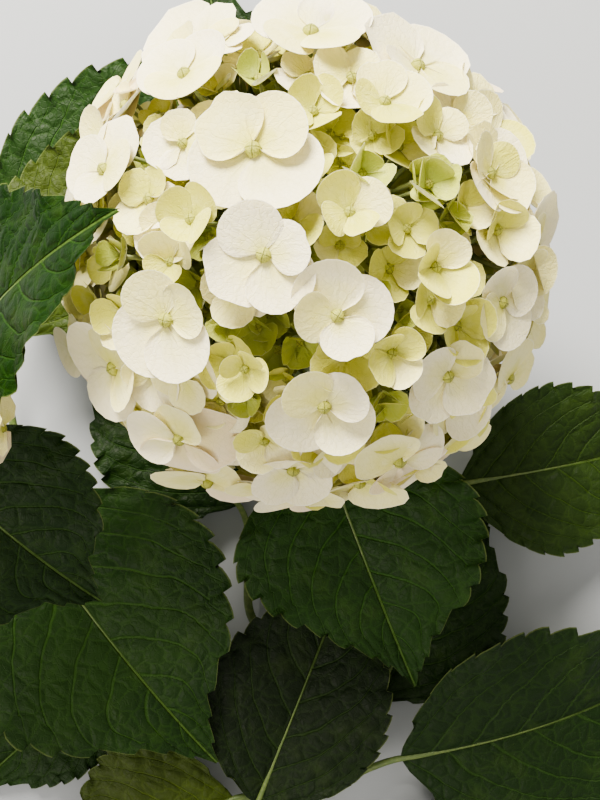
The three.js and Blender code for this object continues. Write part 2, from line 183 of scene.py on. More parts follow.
# Blooms: centre, distance of the large florets from it, a large floret's radius, how many and how far
# apart, seed, shoot, stalk radius and bare patch as in the source. The leading florets have their lean,
# bearing and radius from there, then their turn and age. Between them stand the nested ones, which are
# smaller and lie deeper: lean, bearing, distance from the centre, radius, turn and age. The crowds are
# later and finer darts: how many, how far apart, their distance from the centre, their radius and their
# age at the picture's left and at its right, where the bloom is younger. Then come how many rays and
# branches of stalk the bloom has, and how many tiny buds.
BLOOMS = {
    "main_bloom": dict(
        centre=(0, 0, 115), seat=77, floret=17, count=54, spacing=25.5, seed=4711, stem="main_shoot",
        stalk=3.3, bare=36, age="white",
        leading=[
            (18, 121, 19.3, 0, "white"), (9, -141, 16.5, -18, "white"), (34, -147, 17, -14, "white"),
            (19, -67, 15, 150, "white"), (38, -82, 15.5, 4, "white"), (47, -43, 15, 24, "white"),
            (60, -122, 15, 30, "blush"), (47, 125, 16, 200, "white"), (50, 87, 19.5, 170, "white"),
            (50, 160, 15, 215, "white"), (65, -65, 17.5, 10, "blush"), (51, -17, 14, 80, "white"),
            (82, -30, 15, 0, "blush"), (83, -51, 14.5, 20, "blush"), (85, -90, 16, 0, "blush"),
            (81, -156, 15, 25, "blush"), (47, 19, 13.5, 10, "cream"), (33, 57, 13, 150, "cream"),
            (22, 175, 10.5, 190, "gold"), (28, 20, 10, 25, "lime"), (10, 16, 11, 170, "gold"),
            (29, -15, 11, 100, "gold"), (32, -53, 10, 80, "gold"), (31, -112, 8.5, 20, "gold"),
        ],
        nested=[
            (18, 43, 73, 9.5, 10, "lime"), (28, 24, 73, 10, 60, "lime"), (33, -27, 72, 9.5, 30, "gold"),
            (41, -109, 70, 6.5, 15, "lime"), (34, -119, 71, 10, 70, "gold"), (46, -175, 71, 8.5, 40, "lime"),
            (30, -168, 71, 9.5, 160, "gold"), (27, -131, 68, 7, 0, "lime"), (46, -62, 69, 8, 20, "lime"),
            (43, -29, 72, 10.5, 75, "gold"), (30, 84, 68, 10.5, 80, "gold"), (44, 104, 70, 9, 0, "lime"),
            (48, 3, 74, 11.5, 20, "gold"), (51, 24, 76, 14, 60, "cream"), (38, 36, 74, 12, 0, "cream"),
            (51, -100, 73, 10.5, 10, "cream"), (56, -79, 72, 11, 30, "cream"), (63, -43, 74, 13, 0, "cream"),
            (52, -138, 72, 10.5, 20, "cream"), (49, -158, 71, 10, 45, "gold"), (37, 166, 71, 11, 10, "cream"),
            (24, 2, 71, 9, 50, "gold"), (40, 72, 73, 12.5, 20, "white"), (60, 8, 74, 13, 40, "cream"),
            (60, -8, 75, 13, 70, "cream"), (36, 8, 70, 8, 5, "lime"), (21, -40, 66, 7.5, 30, "lime"),
            (64, 40, 75, 14.5, 10, "white"), (13, -100, 66, 7, 60, "lime"), (31, -36, 67, 6.5, 10, "lime"),
            (26, -115, 62, 8.5, 20, "lime"), (32, 42, 68, 9, 30, "gold"), (42, 87, 70, 10, 0, "cream"),
            (41, 11, 70, 9.5, 15, "gold"), (36, -3, 67, 9, 60, "gold"), (40, -15, 70, 9, 40, "gold"),
            (10, -17, 65, 8, 0, "gold"), (28, -90, 63, 8.5, 50, "lime"), (53, -175, 68, 9, 70, "gold"),
            (23, 144, 66, 9, 30, "gold"), (37, -41, 65, 9, 10, "gold"), (28, 74, 65, 9, 80, "gold"),
            (29, 54, 68, 9, 20, "gold"), (63, -111, 66, 10.5, 40, "cream"), (12, 40, 69, 9, 45, "gold"),
            (18, -9, 60, 9.5, 10, "lime"), (33, -101, 58, 9, 30, "lime"), (34, 19, 62, 9, 70, "lime"),
            (13, 155, 60, 9, 50, "lime"), (30, -100, 50, 9, 0, "lime"), (24, -96, 44, 9, 45, "lime"),
            (23, -112, 58, 9.5, 60, "lime"), (23, -21, 67, 9.5, 35, "gold"), (29, -13, 60, 9, 5, "lime"),
            (30, -155, 62, 9, 20, "lime"),
        ],
        crowds=[
            (74, 13.0, 74, 14, "white", "cream"), (84, 10.0, 69, 10.5, "cream", "gold"),
            (100, 7.5, 63, 8.5, "gold", "gold"), (110, 0.0, 55, 9.5, "lime", "lime"),
            (70, 0.0, 42, 13, "lime", "lime"),
        ],
        rays=10, branches=44, buds=60),
    "small_bloom": dict(
        centre=(-129, -50, 150), seat=38, floret=11.5, count=20, spacing=19.5, seed=6607,
        stem="side_shoot_top", stalk=2.8, bare=38, age="white", leading=[], nested=[],
        crowds=[
            (26, 12, 36, 9, "cream", "gold"), (34, 8, 33, 6.5, "gold", "gold"),
            (40, 0, 27, 6, "lime", "lime"), (24, 0, 18, 7, "lime", "lime"),
        ],
        rays=6, branches=16, buds=20),
}

# Sepals of a floret: bearing from its right hand, length and breadth as shares, whether it is one of the
# inner pair, which lies over the outer one, how far it stands off in millimetres, and how hollow its left
# side is, where the other one of its pair may cover it.
SEPALS = [(224, 1.0, 1.0, False, 0.1, 0), (316, 0.97, 1.0, False, 0.5, 1), (138, 0.84, 1.0, True, 1.4, 1),
          (38, 0.78, 0.95, True, 0.9, 0)]

# Ages of a floret, from its oldest to its youngest: how far its outer and its inner sepals rise from flat at
# the middle and curl up towards their tips, in degrees, how hollow they are, how much those angles differ,
# how many are toothed, and how wide and long a sepal is next to the usual one.
Age = namedtuple("Age", "outer inner hollow spread toothed fan long")
AGES = {
    # The pinkish florets low on the bloom: pinkish beige, and darker than the white ones as painted shade for
    # the bloom's lower side.
    "blush": Age((-8, -26), (8, -8), 0.12, 20, 0.4, 1.0, 1.2),
    "white": Age((2, 9), (12, 10), 0.18, 7, 0.12, 1.0, 1.0),
    "cream": Age((8, 17), (17, 20), 0.26, 10, 0.1, 0.92, 1.03),
    "gold": Age((17, 32), (25, 34), 0.4, 10, 0.05, 0.82, 1.08),
    "lime": Age((30, 44), (38, 48), 0.55, 10, 0.0, 0.74, 1.1),
}

# A floret: its direction from the bloom's centre, radius, turn, age, distance from the centre, and rank,
# which is 0 for the leading ones, 1 for the other large ones and the nested ones, and 2 for the crowds.
Floret = namedtuple("Floret", "way radius turn age away rank")
TILES = 4  # sepals share one map, in four by four tiles of different tint
TILE_MARGIN, TILE_INSIDE = 0.04, 0.92


def colour_field(name, description, default):
    return FloatVectorProperty(
        name=name, description=description, default=default, min=0, max=1, subtype="COLOR")


def length_field(name, description, **limits):
    return FloatProperty(name=name, description=description, unit="LENGTH", subtype="DISTANCE", **limits)


def share_field(name, description, **limits):
    return FloatProperty(name=name, description=description, subtype="FACTOR", **limits)


class BloomSizes(bpy.types.PropertyGroup):
    """Sizes and colours of the flower heads."""

    sepal_thickness: length_field(
        "Sepal thickness", "Thickness of one sepal", default=0.0004, min=0.0002, max=0.001)
    sepal_parts: IntProperty(
        name="Sepal parts", description="Strips across one large sepal", default=18, min=6, max=24)
    white: colour_field("White", "Open sepals", default=(0.95, 0.855, 0.59))
    cream: colour_field("Cream", "Inner sepals of open florets", default=(0.92, 0.84, 0.37))
    gold: colour_field("Gold", "Sepals of half open florets", default=(0.68, 0.66, 0.085))
    lime: colour_field("Lime", "Youngest sepals", default=(0.40, 0.44, 0.028))
    # Pinkish beige, darker than the white as painted shade for the florets on the bloom's lower side.
    blush: colour_field("Blush", "Oldest sepals low on the bloom", default=(0.90, 0.71, 0.47))
    stalk_green: colour_field("Stalk green", "Stalks inside the bloom", default=(0.09, 0.13, 0.025))


class LeafSizes(bpy.types.PropertyGroup):
    """Sizes and colours that all leaves share."""

    thickness: length_field("Thickness", "Thickness of a blade", default=0.0005, min=0.0003, max=0.0015)
    teeth: IntProperty(name="Teeth", description="Teeth on each side of a blade", default=14, min=6, max=24)
    tooth_depth: share_field(
        "Tooth depth", "Depth of a tooth as a share of the half width", default=0.062, min=0, max=0.3)
    quilting: length_field(
        "Quilting", "How deep the side veins lie below the blade between them", default=0.0009, min=0,
        max=0.003)
    vein_spacing: share_field(
        "Vein spacing", "Distance of side veins as a share of the blade's length", default=0.135, min=0.05,
        max=0.3)
    vein: colour_field("Vein", "Veins seen from above", default=(0.055, 0.11, 0.014))
    edge: colour_field("Edge", "Thin rim and tips of the teeth", default=(0.09, 0.12, 0.03))
    underside: colour_field("Underside", "Blade seen from below", default=(0.09, 0.14, 0.04))


class StemSizes(bpy.types.PropertyGroup):
    """Sizes and colours of the stems."""

    ridge: length_field("Bark ridge", "Height of the ridges in the bark", default=0.00035, min=0, max=0.002)
    bark: colour_field("Bark", "Ridges of the bark", default=(0.25, 0.185, 0.10))
    green: colour_field("Green", "Skin of the young shoots", default=(0.12, 0.17, 0.04))
    wood: colour_field("Wood", "Fresh wood of the cut end", default=(0.55, 0.47, 0.27))


class StudioSizes(bpy.types.PropertyGroup):
    """Floor, lights and camera."""

    floor: colour_field("Floor", "Colour of the floor", default=(0.34, 0.365, 0.41))
    key: FloatProperty(
        name="Key light", description="Strength of the large light over the picture's top", default=90.0,
        min=0, max=100, unit="POWER")
    fill: FloatProperty(
        name="Fill light", description="Strength of the light from the picture's bottom left",
        default=10.0, min=0, max=100, unit="POWER")
    lens: FloatProperty(
        name="Lens", description="Focal length of the camera", default=50.45, min=10, max=200)


def rule(operation, turned=False):
    """A method that works out an operation of shader maths, with its values turned round if asked."""
    def method(self, *others):
        values = (*others, self) if turned else (self, *others)
        return self.look.maths(operation, *values)

    return method


class Wire:
    """A number that a material works out, so that shader maths reads as an expression."""

    def __init__(self, look, socket):
        self.look = look
        self.socket = socket

    __add__, __radd__ = rule("ADD"), rule("ADD", turned=True)
    __sub__, __rsub__ = rule("SUBTRACT"), rule("SUBTRACT", turned=True)
    __mul__, __rmul__ = rule("MULTIPLY"), rule("MULTIPLY", turned=True)
    __truediv__, __pow__, __abs__ = rule("DIVIDE"), rule("POWER"), rule("ABSOLUTE")


class Look:
    """A material under construction."""

    def __init__(self, name, **constants):
        self.material = bpy.data.materials.new(name)
        self.material.use_nodes = True
        self.tree = self.material.node_tree
        self.shader = self.tree.nodes["Principled BSDF"]
        for socket, value in constants.items():
            self.shader.inputs[socket.replace("_", " ")].default_value = value

    def node(self, kind, settings=None, sockets=None):
        node = self.tree.nodes.new(kind)
        for key, value in (settings or {}).items():
            setattr(node, key, value)
        for key, value in (sockets or {}).items():
            self.feed(node.inputs[key], value)
        return node

    def feed(self, socket, value):
        if isinstance(value, Wire):
            self.tree.links.new(value.socket, socket)
        elif isinstance(value, bpy.types.NodeSocket):
            self.tree.links.new(value, socket)
        elif socket.type == "RGBA":
            socket.default_value = (*value[:3], 1)
        else:
            socket.default_value = value

    def maths(self, operation, *values):
        node = self.node("ShaderNodeMath", {"operation": operation}, dict(enumerate(values)))
        return Wire(self, node.outputs[0])

    def ramp(self, value, low, high, smooth=True):
        """0 where the value is at low, 1 where it is at high."""
        kind = "SMOOTHSTEP" if smooth else "LINEAR"
        node = self.node("ShaderNodeMapRange", {"interpolation_type": kind},
                         {"Value": value, "From Min": low, "From Max": high})
        return Wire(self, node.outputs[0])

    def vector(self, operation, *values):
        """Vector maths. A distance comes out as a number."""
        node = self.node("ShaderNodeVectorMath", {"operation": operation}, dict(enumerate(values)))
        return Wire(self, node.outputs["Value"]) if operation == "DISTANCE" else node.outputs["Vector"]

    def mix(self, share, first, second):
        node = self.node("ShaderNodeMix", {"data_type": "RGBA"}, {0: share, 6: first, 7: second})
        return node.outputs[2]

    def layers(self, colour, *layers):
        """A colour with others laid over it in turn, each with its share."""
        for share, over in layers:
            colour = self.mix(share, colour, over)
        return colour

    def place(self):
        return self.node("ShaderNodeTexCoord").outputs["Object"]

    def parts(self, vector):
        node = self.node("ShaderNodeSeparateXYZ", sockets={0: vector})
        return [Wire(self, socket) for socket in node.outputs]

    def map(self):
        return self.node("ShaderNodeUVMap", {"uv_map": BAKE_MAP}).outputs[0]

    def stretched(self, vector, scale):
        return self.node("ShaderNodeMapping", sockets={"Vector": vector, "Scale": scale}).outputs[0]

    def noise(self, vector, scale, detail=2.0, roughness=0.5):
        node = self.node("ShaderNodeTexNoise", sockets={
            "Vector": vector, "Scale": scale, "Detail": detail, "Roughness": roughness})
        return Wire(self, node.outputs[0])

    def cells(self, vector, scale):
        """Distance to the nearest wall between cells, 0 on the wall."""
        node = self.node("ShaderNodeTexVoronoi", {"feature": "DISTANCE_TO_EDGE"},
                         {"Vector": vector, "Scale": scale})
        return Wire(self, node.outputs[0])

    def finish(self, colour=None, roughness=None, height=None, depth=0.0002):
        if colour is not None:
            self.feed(self.shader.inputs["Base Color"], colour)
        if roughness is not None:
            self.feed(self.shader.inputs["Roughness"], roughness)
        if height is not None:
            bump = self.node("ShaderNodeBump", sockets={"Height": height, "Distance": depth})
            self.feed(self.shader.inputs["Normal"], bump.outputs[0])
        return self.material


def linear(code):
    """Linear colour of a six-digit colour code."""
    shares = [int(code[i:i + 2], 16) / 255 for i in (0, 2, 4)]
    return tuple(c / 12.92 if c <= 0.04045 else ((c + 0.055) / 1.055) ** 2.4 for c in shares)


def blend(first, second, share):
    return tuple(a + (b - a) * share for a, b in zip(first, second))


def smooth(low, high, value):
    share = min(max((value - low) / (high - low), 0.0), 1.0)
    return share * share * (3 - 2 * share)


def bell(distance, width):
    """1 at no distance, falling off alike to both sides."""
    return exp(-(distance / width) ** 2)


def seeded(seed):
    """Park-Miller generator, the same one that sets the florets in the branch's source."""
    state = seed

    def draw():
        nonlocal state
        state = state * 48271 % 2147483647
        return state / 2147483647

    return draw


class Run:
    """A curve that is measured along its length."""

    PARTS = 200

    def __init__(self, point):
        self.point = point
        self.reach = [0.0]
        last = point(0)
        for part in range(1, self.PARTS + 1):
            here = point(part / self.PARTS)
            self.reach.append(self.reach[-1] + (here - last).length)
            last = here

    @property
    def length(self):
        return self.reach[-1]

    def raw(self, share):
        goal = min(max(share, 0.0), 1.0) * self.length
        part = min(max(bisect_right(self.reach, goal) - 1, 0), self.PARTS - 1)
        step = self.reach[part + 1] - self.reach[part]
        return (part + (goal - self.reach[part]) / step) / self.PARTS

    def at(self, share):
        return self.point(self.raw(share))

    def tangent(self, share):
        middle = self.raw(share)
        low, high = max(middle - 1e-4, 0), min(middle + 1e-4, 1)
        return (self.point(high) - self.point(low)).normalized()


def through(points):
    """Centripetal curve through points."""
    path = [2 * points[0] - points[1], *points, 2 * points[-1] - points[-2]]
    last = len(points) - 2

    def point(t):
        place = t * (len(points) - 1)
        part = min(int(place), last)
        w = place - part
        a, b, c, d = path[part:part + 4]
        da, db, dc = (sqrt((q - p).length) for p, q in ((a, b), (b, c), (c, d)))
        start = ((b - a) / da - (c - a) / (da + db) + (c - b) / db) * db
        end = ((c - b) / db - (d - b) / (db + dc) + (d - c) / dc) * db
        return b + start * w + (3 * (c - b) - 2 * start - end) * w * w + (2 * (b - c) + start + end) * w ** 3

    return Run(point)


def bow_of(a, b, c):
    return Run(lambda t: a * (1 - t) ** 2 + b * (2 * t * (1 - t)) + c * t * t)


def arm_of(a, b, c, d):
    return Run(
        lambda t: a * (1 - t) ** 3 + b * (3 * t * (1 - t) ** 2) + c * (3 * t * t * (1 - t)) + d * t ** 3)


def lay_map(bm, faces, place):
    """Puts the corners of faces on the map where a rule says, from their vertex and their place so far."""
    layers = bm.loops.layers.uv
    layer = layers.get(BAKE_MAP) or layers.new(BAKE_MAP)
    for face in faces:
        for loop in face.loops:
            loop[layer].uv = place(loop.vert, *loop[layer].uv)


def lay_ball_map(bm, radius, reach):
    """Maps a ball by its outline from above."""
    lay_map(bm, bm.faces, lambda vert, u, v: (
        0.5 + reach * vert.co.x / radius, 0.5 + reach * vert.co.y / radius))


def sheet(across, along):
    """A flat grid from -1 to 1 whose map runs from 0 to 1."""
    bm = bmesh.new()
    bmesh.ops.create_grid(bm, x_segments=across, y_segments=along, size=1)
    lay_map(bm, bm.faces, lambda vert, u, v: ((vert.co.x + 1) / 2, (vert.co.y + 1) / 2))
    return bm


def thicken(bm, thickness):
    """Gives a sheet its thickness downwards. Returns its lower faces and its rim."""
    upper = set(bm.verts)
    bmesh.ops.solidify(bm, geom=bm.faces[:], thickness=thickness)
    lower, rim = [], []
    for face in bm.faces:
        kept = sum(vert in upper for vert in face.verts)
        if kept == 0:
            lower.append(face)
        elif kept < len(face.verts):
            rim.append(face)
    walls = set(rim)
    for face in rim:
        for edge in face.edges:
            if any(other not in walls for other in edge.link_faces):
                edge.smooth = False
    return lower, rim


def tube(run, radius_at, sides, rows):
    """A closed tube along a curve. radius_at gives its radius at a share of the length and an angle."""
    bm = sheet(sides, rows)
    tangent = run.tangent(0)
    normal = tangent.orthogonal().normalized()
    rings = []
    for row in range(rows + 1):
        ahead = run.tangent(row / rows)
        normal.rotate(tangent.rotation_difference(ahead))
        tangent = ahead
        rings.append((run.at(row / rows), normal.copy(), tangent.cross(normal)))
    for vert in bm.verts:
        share, angle = (vert.co.y + 1) / 2, pi * (vert.co.x + 1)
        centre, out, side = rings[round(share * rows)]
        if angle > 2 * pi - 1e-4:
            angle = 0.0
        vert.co = centre + (out * cos(angle) + side * sin(angle)) * radius_at(share, angle)
    bmesh.ops.remove_doubles(bm, verts=bm.verts, dist=1e-3)
    bmesh.ops.holes_fill(bm, edges=[edge for edge in bm.edges if edge.is_boundary], sides=0)
    bmesh.ops.recalc_face_normals(bm, faces=bm.faces)
    return bm


def pour(bm, part):
    """Adds the finished part to a mesh."""
    mesh = bpy.data.meshes.new("part")
    part.to_mesh(mesh)
    part.free()
    bm.from_mesh(mesh)
    bpy.data.meshes.remove(mesh)


def place_object(name, data):
    made = bpy.data.objects.new(name, data)
    bpy.context.scene.collection.objects.link(made)
    return made


def piece(name, bm, materials, node):
    """Writes a mesh in millimetres as a finished piece of the branch that replaces a node."""
    bmesh.ops.translate(bm, verts=bm.verts, vec=SHIFT)
    bmesh.ops.scale(bm, verts=bm.verts, vec=(MM, MM, MM))
    bmesh.ops.triangulate(bm, faces=[face for face in bm.faces if len(face.verts) > 4])
    for face in bm.faces:
        face.smooth = True
    mesh = bpy.data.meshes.new(name)
    bm.to_mesh(mesh)
    bm.free()
    for material in materials:
        mesh.materials.append(material)
    made = place_object(name, mesh)
    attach(made, "root")
    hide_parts(node)


def swell_of(stem, share):
    """How much a stem thickens near its leaf pairs."""
    return sum(
        bell((share - node / stem["steps"]) * stem["run"].length, NODE_LENGTH)
        for node in stem["nodes"])


def stem_radius(stem, share):
    thick, thin = stem["radius"]
    return (thick + (thin - thick) * share) * (1 + NODE_SWELL * swell_of(stem, share))


def foot_on(stem, share, towards):
    """Where something that grows from a stem's side starts, and its direction there."""
    centre, axis = stem["run"].at(share), stem["run"].tangent(share)
    out = towards - centre
    out = (out - axis * out.dot(axis)).normalized()
    return centre + out * (stem_radius(stem, share) + GAP), out


def lay_stems():
    """The curve of every stem, each from where it grows."""
    for stem in STEMS.values():
        start = []
        if "follows" in stem:
            before = STEMS[stem["follows"]]["run"]
            axis = before.tangent(1)
            start = [before.at(1) + axis * reach for reach in (GAP, GAP + STRAIGHT_START)]
        elif "forks" in stem:
            before = STEMS[stem["forks"]]
            foot, out = foot_on(before, stem["step"] / before["steps"], Vector(stem["points"][0]))
            start = [foot, foot + out * STRAIGHT_START]
        stem["run"] = through([*start, *map(Vector, stem["points"])])


def bark_look(sizes):
    look = Look("bark", Roughness=0.85)
    place = look.place()
    long_grain = look.noise(look.stretched(place, (1, 0.16, 1)), 900, 4, 0.6)
    grain = look.noise(look.stretched(place, (1, 0.3, 1)), 2400, 2)
    patches = look.noise(place, 60, 3)
    dots = look.ramp(look.cells(look.stretched(place, (1, 0.5, 1)), 260), 0.16, 0.06)
    colour = look.layers(
        blend(sizes.bark, (0, 0, 0), 0.55),
        (look.ramp(long_grain, 0.38, 0.62), sizes.bark),
        (look.ramp(patches, 0.45, 0.7) * 0.5, (0.34, 0.31, 0.24)),
        (dots * look.ramp(grain, 0.5, 0.7) * 0.5, (0.42, 0.33, 0.22)))
    return look.finish(colour, 0.7 + 0.25 * grain, long_grain + grain * 0.4, 0.0005)


def shoot_look(sizes):
    look = Look("green_stem", Specular_IOR_Level=0.4)
    place = look.place()
    streaks = look.noise(look.stretched(place, (1, 0.2, 1)), 700, 3)
    patches = look.noise(place, 45, 2)
    dots = look.ramp(look.noise(look.stretched(place, (1, 0.45, 1)), 1100, 1), 0.66, 0.74)
    colour = look.layers(
        sizes.green,
        (look.ramp(patches, 0.35, 0.7), blend(sizes.green, (0.3, 0.3, 0.1), 0.45)),
        (look.ramp(streaks, 0.5, 0.75) * 0.4, (0.30, 0.36, 0.13)),
        (dots * 0.7, (0.16, 0.08, 0.04)))
    return look.finish(colour, 0.42 + 0.2 * streaks, streaks * 0.4 + dots, 0.0003)


def wood_look(sizes, centre):
    """Cut wood with its rings and soft pith round a point."""
    look = Look("cut_wood", Roughness=0.8)
    place = look.place()
    away = look.vector("DISTANCE", place, centre)
    rings = look.maths("SINE", away * 9000 + look.noise(place, 500) * 5) * 0.5 + 0.5
    pith = look.ramp(away, 0.0017, 0.0013)
    colour = look.layers(
        sizes.wood,
        (rings * 0.35, blend(sizes.wood, (0.2, 0.1, 0.03), 0.5)),
        (pith, (0.72, 0.68, 0.52)),
        (look.ramp(away, 0.0044, 0.0050), (0.20, 0.25, 0.07)))
    height = rings * 0.3 + pith * -0.6 + look.noise(place, 2500)
    return look.finish(colour, 0.75 + 0.15 * rings, height, 0.0002)


def stem_tube(stem, sizes):
    rough = stem["skin"] == "bark"
    rows = ceil(stem["run"].length / (BARK_STEP if rough else SHOOT_STEP))
    ridge = sizes.ridge / MM
    random = seeded(len(stem["points"]) * 977 + stem["steps"])
    waves = [(around, random() * 2 * pi, 2 + 9 * random()) for around in (5, 8, 11, 17)]

    def radius_at(share, angle):
        radius = stem_radius(stem, share)
        if rough:
            for around, start, twist in waves:
                wave = sin(around * angle + start + sin(twist * share * 2 * pi))
                radius += ridge * (0.9 if around < 9 else 0.5) * copysign(abs(wave) ** 1.6, wave)
            radius -= CUT_CHAMFER * bell(share * stem["run"].length, CUT_CHAMFER_LENGTH)
        else:
            radius *= 1 + 0.02 * sin(2 * angle + 3 * share)
        for node in stem["nodes"]:
            away = (share - node / stem["steps"]) * stem["run"].length
            radius += RING_RISE * bell(away, RING_LENGTH) - RING_DIP * bell(away + RING_DIP_AT, RING_LENGTH)
        return radius

    bm = tube(stem["run"], radius_at, BARK_SIDES if rough else SHOOT_SIDES, rows)
    for vert in bm.verts:
        vert.co.z = max(vert.co.z, 0.0)
    return bm


class HYDRANGEA_OT_stems(bpy.types.Operator):
    """Build the cut stem and its green shoots"""

    bl_idname = "hydrangea.stems"
    bl_label = "Stems"

    def execute(self, context):
        sizes = context.scene.hydrangea_stems
        lay_stems()
        skins = {"bark": bark_look(sizes), "green_stem": shoot_look(sizes)}
        for name, stem in STEMS.items():
            bm = stem_tube(stem, sizes)
            start = stem["run"].at(0)
            wood = wood_look(sizes, (start + SHIFT) * MM) if name == "cut_stem" else None
            if wood:
                for face in bm.faces:
                    if len(face.verts) > 4 and (face.calc_center_median() - start).length < 1:
                        face.material_index = 1
                        for edge in face.edges:
                            edge.smooth = False
            materials = [skins[stem["skin"]]] + ([wood] if wood else [])
            piece(name + "_skin", bm, materials, name)
        return {"FINISHED"}


def leaf_half(s):
    """Half width of a blade at s from base to tip, as a share of its widest."""
    base_power = LEAF_TIP_POWER * LEAF_WIDEST / (1 - LEAF_WIDEST)
    return (s / LEAF_WIDEST) ** base_power * ((1 - s) / (1 - LEAF_WIDEST)) ** LEAF_TIP_POWER


def leaf_axes(leaf):
    base, tip = Vector(leaf.base), Vector(leaf.tip)
    along = (tip - base).normalized()
    face = (UP - along * along.z).normalized()
    face.rotate(Quaternion(along, radians(leaf.roll)))
    middle = (base + tip) / 2 + face * (2 * leaf.bow)
    return bow_of(base, middle, tip), face


def vein_start(wide, s, lean):
    """Where the side vein through a point leaves the midrib, in numbers or wires. Veins curve forward."""
    return s - (VEIN_LEAN * wide + VEIN_CURVE * wide * wide * wide) * (1 - s) ** 0.5 * lean


class Blade:
    """One leaf blade: its frame and the rule that places a point of it."""

    def __init__(self, name, leaf, sizes):
        self.run, self.face = leaf_axes(leaf)
        self.width = leaf.width
        self.fold = tan(radians(leaf.fold))
        self.teeth = sizes.teeth
        self.depth = sizes.tooth_depth
        self.quilting = sizes.quilting / MM
        self.spacing = sizes.vein_spacing
        random = seeded(sum(map(ord, name)) * 31)
        self.slim = leaf.slim
        self.drip = leaf.drip
        self.waves = [(random() * 2 * pi, 5 + 4 * random()) for _ in range(4)]
        self.lean = [0.9 + 0.2 * random() for _ in range(2 * (self.teeth + 1))]

    def half(self, q, s):
        """Half width at s, with the tooth of that place near the edge."""
        half = 0.5 * self.width * leaf_half(s) * (1 - self.drip * smooth(0.66, 0.82, s))
        slimmer = self.slim * q > 0
        half *= 1 - (abs(self.slim) if slimmer else 0) * smooth(0.25, 0.75, s)
        place = s * self.teeth
        tooth = place - floor(place)
        saw = (tooth / TOOTH_PEAK) ** 0.65 if tooth < TOOTH_PEAK else (1 - tooth) / 0.22
        size = self.lean[int(place) + (0 if q < 0 else self.teeth + 1)]
        fade = smooth(0.02, 0.12, s) * smooth(1.0, 0.9, s)
        bite = self.depth * (saw - 0.45) * size * fade * smooth(0.72, 1.0, abs(q))
        return max(half * (1 + bite), TIP_HALF_WIDTH)

    def relief(self, q, s, across):
        """How far the veins sink a point, in millimetres."""
        start = vein_start(abs(q), s, min(BASE_LEAN + BASE_LEAN_RISE * s, 1))
        phase = start / self.spacing + (LEFT_VEINS_LATER if q < 0 else 0.0)
        away = abs(phase - floor(phase) - 0.5)
        off_vein = (0.5 - away) * self.spacing * self.run.length * 0.8
        side = bell(off_vein, VEIN_WIDTH) * smooth(1.0, 0.8, abs(q)) * smooth(0.0, 0.1, s)
        midrib = bell(across, MIDRIB_WIDTH)
        return self.quilting * (max(side, midrib) - 0.55)

    def point(self, q, s):
        half = self.half(q, s)
        across = q * half
        tangent = self.run.tangent(s)
        side = tangent.cross(self.face).normalized()
        normal = side.cross(tangent).normalized()
        rise = abs(across) * self.fold - LEAF_CURL * self.fold * across * across / self.width
        start, speed = self.waves[0 if q < 0 else 1]
        rise += WAVE_HEIGHT * q * q * sin(start + speed * s * pi) * smooth(0.0, 0.3, s) * smooth(1.0, 0.8, s)
        start, speed = self.waves[2 if q < 0 else 3]
        rise += RIPPLE_HEIGHT * abs(q) ** 3 * sin(start + 2.7 * speed * s * pi)
        rise -= self.relief(q, s, across)
        place = self.run.at(s) + side * across + normal * (rise + 0.25)
        place.z = max(place.z, LOWEST)
        return place, across


def leaf_lines(look, spacing):
    """How near a point of a blade lies to a side vein, from 0.5 between two to 0 on one, then its place
    across the blade as a share of the half width, and its distance from the midrib in metres."""
    q, s, across = look.parts(look.node("ShaderNodeAttribute", {"attribute_name": BLADE}).outputs["Vector"])
    wide = abs(q)
    start = vein_start(wide, s, look.maths("MINIMUM", BASE_LEAN + s * BASE_LEAN_RISE, 1))
    wander = (look.noise(look.place(), 55, 2) - 0.5) * 0.4
    phase = start / spacing + look.maths("LESS_THAN", q, 0) * LEFT_VEINS_LATER + wander
    off_side = 0.5 - abs(look.maths("FRACT", phase) - 0.5)
    return off_side, wide, abs(across) * (ACROSS_UNIT * MM)


